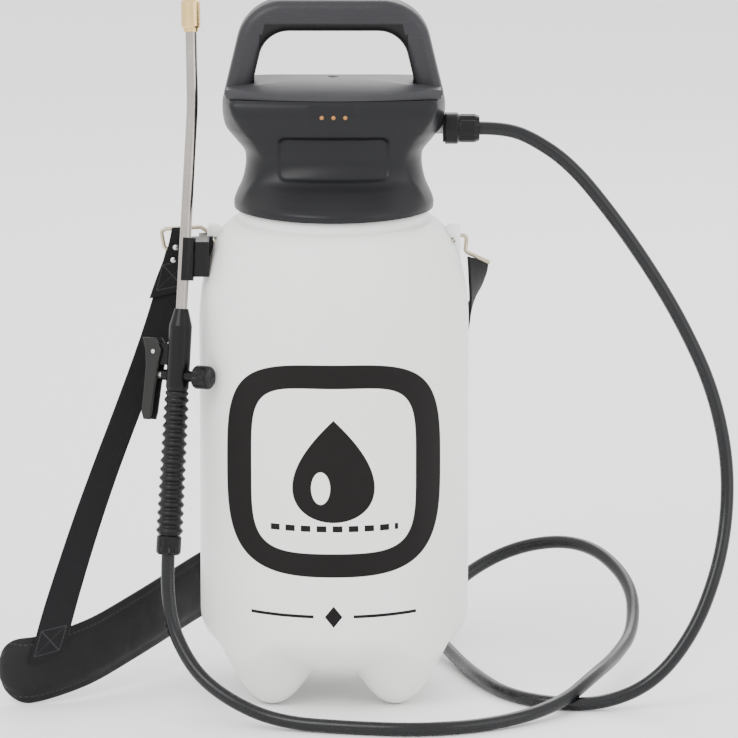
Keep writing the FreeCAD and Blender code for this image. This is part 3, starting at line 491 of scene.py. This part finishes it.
def spunMesh(outline, segments, place=Matrix(), closed=True):
    # Spins a profile of (radius, height) in millimetres about Z and puts it in its place.
    mesh = bmesh.new()
    verts = [mesh.verts.new((radius * mm, 0, height * mm)) for radius, height in outline]
    edges = [mesh.edges.new(pair) for pair in zip(verts, verts[1:])]
    if closed:
        edges.append(mesh.edges.new((verts[-1], verts[0])))
    bmesh.ops.spin(mesh, geom=verts + edges, cent=(0, 0, 0), axis=(0, 0, 1), angle=2 * math.pi,
                   steps=segments, use_merge=True)
    bmesh.ops.remove_doubles(mesh, verts=mesh.verts, dist=0.00001)
    bmesh.ops.recalc_face_normals(mesh, faces=mesh.faces)
    bmesh.ops.transform(mesh, matrix=place, verts=mesh.verts)
    return mesh


def rounded(outline, radius, steps=4):
    # Replaces each corner of an open profile by a small arc.
    made = [outline[0]]
    for before, corner, after in zip(outline, outline[1:], outline[2:]):
        a, b, c = Vector(before), Vector(corner), Vector(after)
        reach = min(radius, (a - b).length * 0.45, (c - b).length * 0.45)
        start, end = b + (a - b).normalized() * reach, b + (c - b).normalized() * reach
        for step in range(steps + 1):
            t = step / steps
            made.append(tuple(start * (1 - t) ** 2 + b * (2 * t * (1 - t)) + end * t * t))
    return made + [outline[-1]]


def fluted(outline, count, depth, place, low, high, share=8):
    # A turned part with grip flutes between two heights.
    mesh = bmesh.new()
    rings = []
    for radius, height in outline:
        ring = []
        for number in range(count * share):
            angle = 2 * math.pi * number / (count * share)
            flute = depth * (0.5 - 0.5 * math.cos(angle * count)) ** 3 if low < height < high else 0
            out = max(radius - flute, 0.1) * mm
            ring.append(place @ Vector((out * math.cos(angle), out * math.sin(angle), height * mm)))
        rings.append(ring)
    skinned(mesh, rings, True, True)
    return mesh


# tank: a blown shell, four round feet melting into its bowl, and a fin with an eye each side

tankPlan = {"radius": 95.0, "bowlTop": 62.0, "bowlDeep": 41.0, "bowlPower": 2.4, "footOut": 61.0,
            "footCurve": 0.0325, "melt": 9.0, "sideTop": 268.0, "collar": 67.0, "collarTop": 341.0,
            "mouth": 349.6, "segments": 144}
finPlan = {"rim": [(52, 262), (92, 264), (89, 288), (89, 334.5), (87, 336.5), (82, 335.7), (77, 333.5),
                   (52, 333.5)],
           "thick": 10.0, "eye": (83, 325.6), "eyeRadius": 2.4}


def footHeight(x, y):
    # Height of the bowl's underside at a spot, with the nearest foot melted in.
    plan = tankPlan
    reach = min(math.hypot(x, y) / plan["radius"], 1.0)
    bowl = plan["bowlTop"] - plan["bowlDeep"] * (1 - reach ** plan["bowlPower"]) ** (1 / plan["bowlPower"])
    side = plan["footOut"] * math.sqrt(0.5)
    foot = plan["footCurve"] * ((abs(x) - side) ** 2 + (abs(y) - side) ** 2)
    blend = min(max(0.5 + 0.5 * (bowl - foot) / plan["melt"], 0), 1)
    return bowl + (foot - bowl) * blend - plan["melt"] * blend * (1 - blend)


def tankPiece():
    plan = tankPlan
    count = plan["segments"]
    turns = [2 * math.pi * i / count for i in range(count)]
    ways = [(math.cos(turn), math.sin(turn)) for turn in turns]
    rings = []
    for step in range(1, 49):
        reach = plan["radius"] * math.sin(math.pi / 2 * step / 48) ** (2 / plan["bowlPower"])
        rings.append([Vector((reach * c, reach * s, footHeight(reach * c, reach * s))) * mm for c, s in ways])
    foot = [place.z for place in rings[-1]]
    side, sideTop = plan["radius"] * mm, plan["sideTop"] * mm
    for step in range(1, 25):
        share = (step / 24) ** 1.4
        rings.append([Vector((side * c, side * s, low + (sideTop - low) * share))
                      for (c, s), low in zip(ways, foot)])
    reach, rise = plan["radius"] - plan["collar"], plan["collarTop"] - plan["sideTop"]
    for step in range(1, 25):
        turn = math.pi / 2 * step / 24
        out = plan["collar"] + reach * math.cos(turn) ** 1.06
        up = plan["sideTop"] + rise * math.sin(turn) ** 1.06
        rings.append([Vector((out * c, out * s, up)) * mm for c, s in ways])
    for out, up in ((66.8, 344), (66.6, plan["mouth"]), (60, plan["mouth"]), (44, plan["mouth"] - 0.4)):
        rings.append([Vector((out * c, out * s, up)) * mm for c, s in ways])
    mesh = bmesh.new()
    skinned(mesh, rings, True, True)
    for side in (-1, 1):
        addFin(mesh, side)
    return mesh


def addFin(mesh, side):
    plan = finPlan
    thick = plan["thick"] * mm
    rim = [mesh.verts.new((side * x * mm, -thick / 2, z * mm)) for x, z in plan["rim"]]
    edges = [mesh.edges.new((rim[i - 1], rim[i])) for i in range(len(rim))]
    eye = bmesh.ops.create_circle(mesh, segments=20, radius=plan["eyeRadius"] * mm)["verts"]
    for vertex in eye:
        across, up = side * plan["eye"][0] * mm + vertex.co.x, plan["eye"][1] * mm + vertex.co.y
        vertex.co = Vector((across, -thick / 2, up))
    edges += list({edge for vertex in eye for edge in vertex.link_edges})
    faces = [g for g in bmesh.ops.triangle_fill(mesh, edges=edges, use_beauty=True)["geom"]
             if isinstance(g, bmesh.types.BMFace)]
    made = bmesh.ops.extrude_face_region(mesh, geom=faces)["geom"]
    bmesh.ops.translate(mesh, vec=(0, thick, 0), verts=[g for g in made if isinstance(g, bmesh.types.BMVert)])
    region = list({face for vertex in rim for face in vertex.link_faces}) + faces
    outer = [g for g in made if isinstance(g, bmesh.types.BMFace)]
    bmesh.ops.recalc_face_normals(mesh, faces=list(set(region + outer)))
    sharp = [edge for edge in {edge for face in set(region + outer) for edge in face.edges}
             if len(edge.link_faces) == 2 and edge.calc_face_angle(0) > 1.0]
    bmesh.ops.bevel(mesh, geom=sharp, offset=1.1 * mm, segments=3, affect="EDGES", profile=0.5, material=-1,
                    clamp_overlap=True)


tankThing = finished("tank_shell", tankPiece(), tankPlastic, "sprayer", "milky_plastic", "tank")
print("stage: tank made")


# lid: a round rim that pinches to a waist and swells to an oval head, with two sunken panels in front

lidPlan = {"foot": 350.0, "head": 430.0, "rim": 70.0, "share": 88, "steps": 9, "edge": 2.6,
           "panelDeep": 1.3, "panel": (38.0, 374.5, 404.0, 4.5),
           "badgeDeep": 1.1, "badge": (17.3, 414.8, 427.2, 2.0),
           "guide": 10.2, "deck": 1.2, "lipLift": 0.16, "holeDeep": 8}
# height share, half width, half depth, corner half width, corner half depth, in rims
lidSections = [
    (0.00, 1.000, 1.000, 0.914, 0.406), (0.06, 1.000, 0.996, 0.914, 0.406),
    (0.13, 0.971, 0.890, 0.893, 0.400), (0.21, 0.929, 0.757, 0.843, 0.410),
    (0.30, 0.900, 0.614, 0.757, 0.425), (0.41, 0.883, 0.527, 0.700, 0.440),
    (0.51, 0.900, 0.514, 0.707, 0.452), (0.62, 1.000, 0.536, 0.771, 0.475),
    (0.72, 1.086, 0.571, 0.871, 0.505), (0.84, 1.114, 0.600, 0.971, 0.525),
    (0.95, 1.114, 0.586, 1.020, 0.505), (1.00, 1.093, 0.550, 1.000, 0.475)]


def sunken(across, up, box, slant=0.0):
    # 1 inside a rounded rectangle, 0 outside, with a narrow ramp.
    half, low, high, corner = box
    middle, tall = (low + high) / 2, (high - low) / 2
    half -= slant * (up - low)
    beside, above = max(abs(across) - half + corner, 0), max(abs(up - middle) - tall + corner, 0)
    return min(max(0.5 - (math.hypot(beside, above) - corner) / 1.4, 0), 1)


def lidPiece():
    plan = lidPlan
    rings = []
    for level, *spans in between(lidSections, plan["steps"]):
        height = plan["foot"] + level * (plan["head"] - plan["foot"])
        ring = softened(ringPoints(*(span * plan["rim"] for span in spans), height, plan["share"]), 14)
        for place in ring:
            if place.y < 0:
                place.y += sunken(place.x, height, plan["panel"]) * plan["panelDeep"]
                place.y += sunken(place.x, height, plan["badge"], 0.1) * plan["badgeDeep"]
        rings.append(ring)
    foot, top = rings[0], rings[-1]
    under = [[Vector((p.x * share, p.y * share, p.z + rise)) for p in foot]
             for share, rise in ((0.92, 0.3), (0.985, -0.35), (0.997, 0.0))]
    over = []
    for step in range(1, 6):
        turn = math.pi / 2 * step / 5
        shrink = plan["edge"] * (1 - math.cos(turn))
        lift = Vector((0, 0, plan["edge"] * math.sin(turn) * plan["lipLift"]))
        over.append([p - Vector((p.x, p.y, 0)).normalized() * shrink + lift for p in top])
    for share, drop in ((0.955, 0), (0.94, plan["deck"]), (0.6, plan["deck"])):
        over.append([Vector((p.x * share, p.y * share, p.z - drop)) for p in top])
    turns = [2 * math.pi * (i / len(top) - 0.125) for i in range(len(top))]
    guide, floor = plan["guide"], plan["head"] - plan["deck"]
    hole = [Vector((guide * math.sin(turn), -guide * math.cos(turn), floor)) for turn in turns]
    over.append(hole)
    over.append([p - Vector((0, 0, plan["holeDeep"])) for p in hole])
    mesh = bmesh.new()
    skinned(mesh, under + rings + over)
    bmesh.ops.scale(mesh, vec=(mm, mm, mm), verts=mesh.verts)
    return mesh


finished("lid_cover", lidPiece(), lidPlastic, "sprayer", "black_plastic", "lid_shell")

capPlan = {"radius": 4.6, "seat": 441.4, "rise": 1.2}
capProfile = [(0, capPlan["rise"]), (2.2, capPlan["rise"] - 0.1), (3.8, 0.8), (capPlan["radius"], 0.1),
              (capPlan["radius"], -0.6), (3.0, -0.6), (0, -0.6)]
capPlace = Matrix.Translation(Vector((0, 0, capPlan["seat"])) * mm)
finished("plate_cap", spunMesh(capProfile, 40, capPlace, closed=False), handlePlastic, "pump_handle",
         "black_plastic")

lampPlan = {"across": 8.2, "height": 419.3, "front": 40.9, "radius": 1.5}
amber = grainedPlastic("amberLens", (0.30, 0.13, 0.04), (0.48, 0.24, 0.09), 0.22)
lensProfile = [(0, 0.9), (0.7, 0.8), (1.2, 0.45), (lampPlan["radius"], 0), (lampPlan["radius"], -1.4),
               (0, -1.4)]
for number in (-1, 0, 1):
    seat = Vector((number * lampPlan["across"], -lampPlan["front"], lampPlan["height"])) * mm
    where = Matrix.Translation(seat) @ Matrix.Rotation(math.pi / 2, 4, "X")
    lens = spunMesh(lensProfile, 20, where, closed=False)
    finished(f"lid_lens_{number + 2}", lens, amber, "sprayer", "knob_plastic")
print("stage: lid made")


# lance: the frame of its axis, then the pieces turned about it

lancePlan = {"foot": Vector((-116.1, -64, 112.5)), "head": Vector((-99, -8.5, 419)), "roll": -30.0}
lanceWay = (lancePlan["head"] - lancePlan["foot"]).normalized()
lanceAcross = (Vector((1, 0, 0)) - lanceWay * lanceWay.x).normalized()
lanceFrame = Matrix((lanceAcross, lanceWay.cross(lanceAcross), lanceWay)).transposed().to_4x4()
lanceFrame = Matrix.Translation(lancePlan["foot"] * mm) @ lanceFrame
lanceRolled = lanceFrame @ Matrix.Rotation(math.radians(lancePlan["roll"]), 4, "Z")
gripPlan = {"low": 14.2, "high": 115.0, "ribs": 16, "slim": 8.7, "full": 9.6, "groove": 1.9, "core": 6.1}


def gripPiece():
    plan = gripPlan
    pitch = (plan["high"] - 3 - plan["low"]) / plan["ribs"]
    outline = [(plan["core"], plan["low"]), (plan["full"] - 1.4, plan["low"])]
    for rib in range(plan["ribs"]):
        swell = plan["full"] + (plan["slim"] - plan["full"]) * rib / plan["ribs"]
        for step in range(9):
            wave = abs(math.cos(math.pi * step / 9)) ** 2.2
            outline.append((swell - plan["groove"] * wave, plan["low"] + pitch * (rib + step / 9)))
    outline += [(plan["slim"] - 1.6, plan["high"] - 3), (plan["slim"] - 0.7, plan["high"] - 2.4),
                (plan["slim"] - 0.5, plan["high"] - 0.6), (plan["slim"] - 1.0, plan["high"]),
                (plan["core"], plan["high"])]
    return spunMesh(outline, 48, lanceFrame)


finished("ribbed_grip", gripPiece(), gripRubber, "sprayer", "grip_plastic", "grip_sleeve")
hoseEndNut = rounded([(2.6, 0.1), (7.2, 0.1), (8.7, 1.8), (8.7, 13.0), (7.9, 13.7), (6.1, 13.7)], 0.6)
finished("grip_nut", fluted(hoseEndNut, 10, 0.7, lanceFrame, 2.2, 12.6), fittingPlastic, "sprayer",
         "black_plastic", "lance_hose_nut")
crossFrame = lanceRolled @ Matrix.Translation(Vector((0, 0, 126)) * mm) @ Matrix.Rotation(math.pi / 2, 4, "Y")
capOutline = rounded([(3.0, 14.7), (7.4, 14.7), (8.35, 15.9), (8.35, 25.2), (7.2, 26.7), (0.1, 26.7)], 0.7)
finished("valve_end_cap", fluted(capOutline, 14, 0.6, crossFrame, 16.4, 24.8), fittingPlastic, "sprayer",
         "black_plastic", "valve_cap")
outletFrame = Matrix.Translation(Vector((0, 0, 405)) * mm) @ Matrix.Rotation(math.pi / 2, 4, "Y")
outletOutline = rounded([(5.0, 78.0), (11.2, 78.0), (11.2, 86.6), (9.9, 87.6), (9.9, 88.4), (10.1, 89.2),
                         (10.1, 98.6), (8.6, 102.2), (4.9, 102.4)], 0.5)
finished("outlet_nut", fluted(outletOutline, 9, 1.1, outletFrame, 88.9, 99.5), fittingPlastic, "sprayer",
         "black_plastic", "hose_nut")
print("stage: lance and nuts made")


# webbing straps

def strapPiece(piece, stations, thick, nodes, body="sprayer"):
    # Extrudes a band's cross edge through stations of (middle, across, width), then smooths and thickens it.
    mesh = bmesh.new()
    weave = mesh.loops.layers.uv.new("weave")
    middles = [Vector(row[0]) * mm for row in stations]
    marks, edge, run = {}, None, -sum((b - a).length for a, b in zip(middles, middles[1:]))
    for middle, across, wide in stations:
        middle, side = Vector(middle) * mm, Vector(across).normalized() * wide * mm / 2
        if edge is None:
            ends = [mesh.verts.new(middle - side), mesh.verts.new(middle + side)]
            edge = mesh.edges.new(ends)
        else:
            run += (middle - before).length
            made = bmesh.ops.extrude_edge_only(mesh, edges=[edge])["geom"]
            edge = [g for g in made if isinstance(g, bmesh.types.BMEdge)][0]
            fresh = set(g for g in made if isinstance(g, bmesh.types.BMVert))
            ends = [[e.other_vert(v) for e in v.link_edges if e.other_vert(v) in fresh][0] for v in ends]
            ends[0].co, ends[1].co = middle - side, middle + side
        marks[ends[0]], marks[ends[1]] = (-wide * mm / 2, run), (wide * mm / 2, run)
        before = middle
    for face in mesh.faces:
        for loop in face.loops:
            loop[weave].uv = marks[loop.vert]
    thing = finished(piece, mesh, webbing, body, "webbing", *nodes)
    modifier(thing, "SUBSURF", levels=4, render_levels=4, boundary_smooth="PRESERVE_CORNERS")
    modifier(thing, "SOLIDIFY", thickness=thick * mm, offset=0)
    return thing


strapPlan = {"wide": 25.0, "thick": 1.7, "wrap": 98.1}
wide = strapPlan["wide"]
leftStrap = [((-109.5, 9.9, 316), (1, 0, 0), 18), ((-110, 10.6, 311), (1, 0, 0.05), 20),
             ((-111.5, 11.0, 303), (1, 0, 0.1), 22), ((-116, 8, 284), (1, 0.1, 0.22), wide),
             ((-128, -3, 250), (1, 0.2, 0.32), wide), ((-147, -14, 202), (1, 0.25, 0.38), wide),
             ((-168, -27, 148), (1, 0.2, 0.36), wide), ((-184, -38, 100), (1, 0.1, 0.3), wide),
             ((-194, -45, 68), (1, 0, 0.24), wide), ((-199, -52.6, 49), (1, 0, 0.25), wide),
             ((-204, -53.6, 34), (1, 0, 0.3), wide)]
leftFlap = [((-108.5, 9.6, 332.4), (1, 0, 0.05), 11), ((-108.8, 7.2, 331.2), (1, 0, 0.05), 11.5),
            ((-109.3, 6.9, 322), (1, 0, 0.08), 14), ((-110.5, 7.2, 312), (1, 0, 0.1), 18),
            ((-113.5, 7.6, 300), (1, 0.05, 0.15), 23), ((-117.5, 5.4, 285), (1, 0.1, 0.22), 26.5)]
rightStrap = [((101.5, 10.6, 309.5), (-0.6, -0.72, 0.28), 23), ((101.8, 12, 304), (-0.58, -0.8, 0.27), 24),
              ((100.8, 16, 293), (-0.42, -0.9, 0.1), wide), ((99.5, 22, 277), (-0.2, -1, -0.25), wide)]
for turn in range(24, 95, 14):
    angle = math.radians(turn)
    facing = Vector((math.cos(angle), math.sin(angle), 0))
    spot = facing * strapPlan["wrap"] + Vector((0, 0, 287 - 1.53 * turn))
    rightStrap.append((spot, (0.95 * facing.y, -0.95 * facing.x, -1), wide))
rightStrap += [((-31, 103, 119), (0.72, 0.1, -0.7), wide), ((-56, 107, 92), (0.5, 0.1, -0.85), wide),
               ((-69, 101.5, 74), (0.2, 0.1, -1), wide), ((-76, 95, 65), (0, 0, -1), wide)]
strapPiece("webbing_left", leftStrap, strapPlan["thick"], ["strap_left"])
strapPiece("webbing_left_flap", leftFlap, 1.5, [])
strapPiece("webbing_back", rightStrap, strapPlan["thick"], ["strap_rear"])

rivetSpots = [(-111.6, 5.9, 318.5), (-113.3, 5.9, 309.5)]
rivetProfile = [(0, 1.1), (0.9, 1.0), (1.6, 0.7), (2.1, 0.25), (2.2, -0.2), (0.8, -0.3), (0.8, -4.6),
                (0, -4.6)]
for number, spot in enumerate(rivetSpots, start=1):
    where = Matrix.Translation(Vector(spot) * mm) @ Matrix.Rotation(math.pi / 2, 4, "X")
    head = spunMesh(rivetProfile, 24, where, closed=False)
    standsFor = ["strap_rivets"] if number == 1 else []
    finished(f"strap_rivet_{number}", head, partSteel, "sprayer", "steel", *standsFor)
print("stage: straps made")


# shoulder pad: a long crowned leaf standing on its edge, piped and sewn round its border

padPlan = {"line": [(-236.5, -37.5, 25), (-228, -44.5, 25), (-210, -47, 25.5), (-175, -28, 33), (-143, 5, 44),
                    (-118, 40, 52), (-98, 70, 58), (-76, 95, 65)],
           "half": 24.0, "thick": 4.6, "seam": 18.8, "seamDeep": 1.0, "piping": 1.7, "steps": 22}


def padThickness(height):
    # Half the pad's thickness at a share of its half height: crowned, nipped at the seam, piped at the edge.
    seam = padPlan["seam"] / padPlan["half"]
    crown = padPlan["thick"] * (1 - min(abs(height) / 1.06, 1) ** 3.2)
    nip = padPlan["seamDeep"] * math.exp(-((abs(height) - seam) / 0.045) ** 2)
    pipe = padPlan["piping"] * math.sqrt(max(1 - ((abs(height) - 0.93) / 0.07) ** 2, 0))
    return max(crown - nip, pipe, 0.02)


def padPiece():
    plan = padPlan
    line = [Vector(row) for row in between(plan["line"], 8)]
    lengths = [0.0]
    for a, b in zip(line, line[1:]):
        lengths.append(lengths[-1] + (b - a).length)
    total = lengths[-1]

    def along(run):
        for i in range(1, len(line)):
            if run <= lengths[i] or i == len(line) - 1:
                share = (run - lengths[i - 1]) / (lengths[i] - lengths[i - 1])
                return line[i - 1].lerp(line[i], share), (line[i] - line[i - 1]).normalized()

    mesh = bmesh.new()
    weave = mesh.loops.layers.uv.new("weave")
    runs = [0.25, 1, 2.2, 4, 6.5, 9.5, 13, 17, 21, 24]
    runs += [24 + (total - 26) * i / 54 for i in range(1, 55)] + [total]
    shares = [math.cos(math.pi * i / plan["steps"]) for i in range(plan["steps"] + 1)]
    rings, marks = [], []
    for run in runs:
        middle, way = along(run)
        tall = plan["half"] * math.sqrt(max(1 - (max(plan["half"] - run, 0) / plan["half"]) ** 2, 0.0004))
        tall *= 1 - 0.08 * max(run / total - 0.9, 0) / 0.1
        facing = Vector((way.y, -way.x, 0)).normalized()
        up = Vector((0, 0, 1))
        close = min(run / 5.0, 1.0) ** 0.5 * min((total - run) / 3 + 0.35, 1.0)
        ring, row = [], []
        for side, order in ((1, shares), (-1, shares[::-1][1:-1])):
            for share in order:
                crease = 0.5 * math.sin(run * 0.19 + share * 2.0) * math.sin(run * 0.055)
                crease *= 1 - share * share
                out = (padThickness(share) + crease * 0.5) * close * side
                ring.append((middle + up * share * tall + facing * out) * mm)
                row.append((share * tall * mm, run * mm))
        rings.append(ring)
        marks.append(row)
    skinned(mesh, rings, True, True)
    mesh.verts.ensure_lookup_table()
    spots = [mark for row in marks for mark in row]
    for face in mesh.faces:
        for loop in face.loops:
            loop[weave].uv = spots[loop.vert.index]
    return mesh


pad = finished("pad_cushion", padPiece(), vinyl, "sprayer", "pad_vinyl", "shoulder_pad")
modifier(pad, "SUBSURF", levels=1, render_levels=1)
print("stage: pad made")


# floor and light

floorPlan = {"size": 8.0, "colour": (0.93, 0.93, 0.93)}


def studio():
    mesh = bmesh.new()
    bmesh.ops.create_grid(mesh, x_segments=2, y_segments=2, size=floorPlan["size"])
    data = bpy.data.meshes.new("floor")
    mesh.to_mesh(data)
    mesh.free()
    thing = bpy.data.objects.new("floor", data)
    bpy.context.scene.collection.objects.link(thing)
    paper = Finish("paleFloor", Roughness=0.6)
    at = paper.place()
    paper.feed("Base Color", paper.mix(paper.noise(at, 3.0) * 0.2, floorPlan["colour"], (0.90, 0.90, 0.90)))
    data.materials.append(paper.material)
    world = bpy.data.worlds.new("studio")
    world.use_nodes = True
    sky = world.node_tree.nodes["Background"].inputs
    sky["Color"].default_value = (1, 1, 1, 1)
    sky["Strength"].default_value = 1.9
    bpy.context.scene.world = world
    for name, place, wide, power in (("key", (-1.2, -1.6, 2.0), 1.4, 40), ("fill", (1.8, -1.2, 1.1), 1.6, 12),
                                     ("rim", (0.4, 1.8, 1.6), 1.2, 18)):
        lamp = bpy.data.lights.new(name, "AREA")
        lamp.size, lamp.energy = wide, power
        light = bpy.data.objects.new(name, lamp)
        light.location = place
        light.rotation_euler = (Vector((0, 0, 0.2)) - Vector(place)).to_track_quat("-Z", "Y").to_euler()
        bpy.context.scene.collection.objects.link(light)


studio()
print("stage: studio lit")
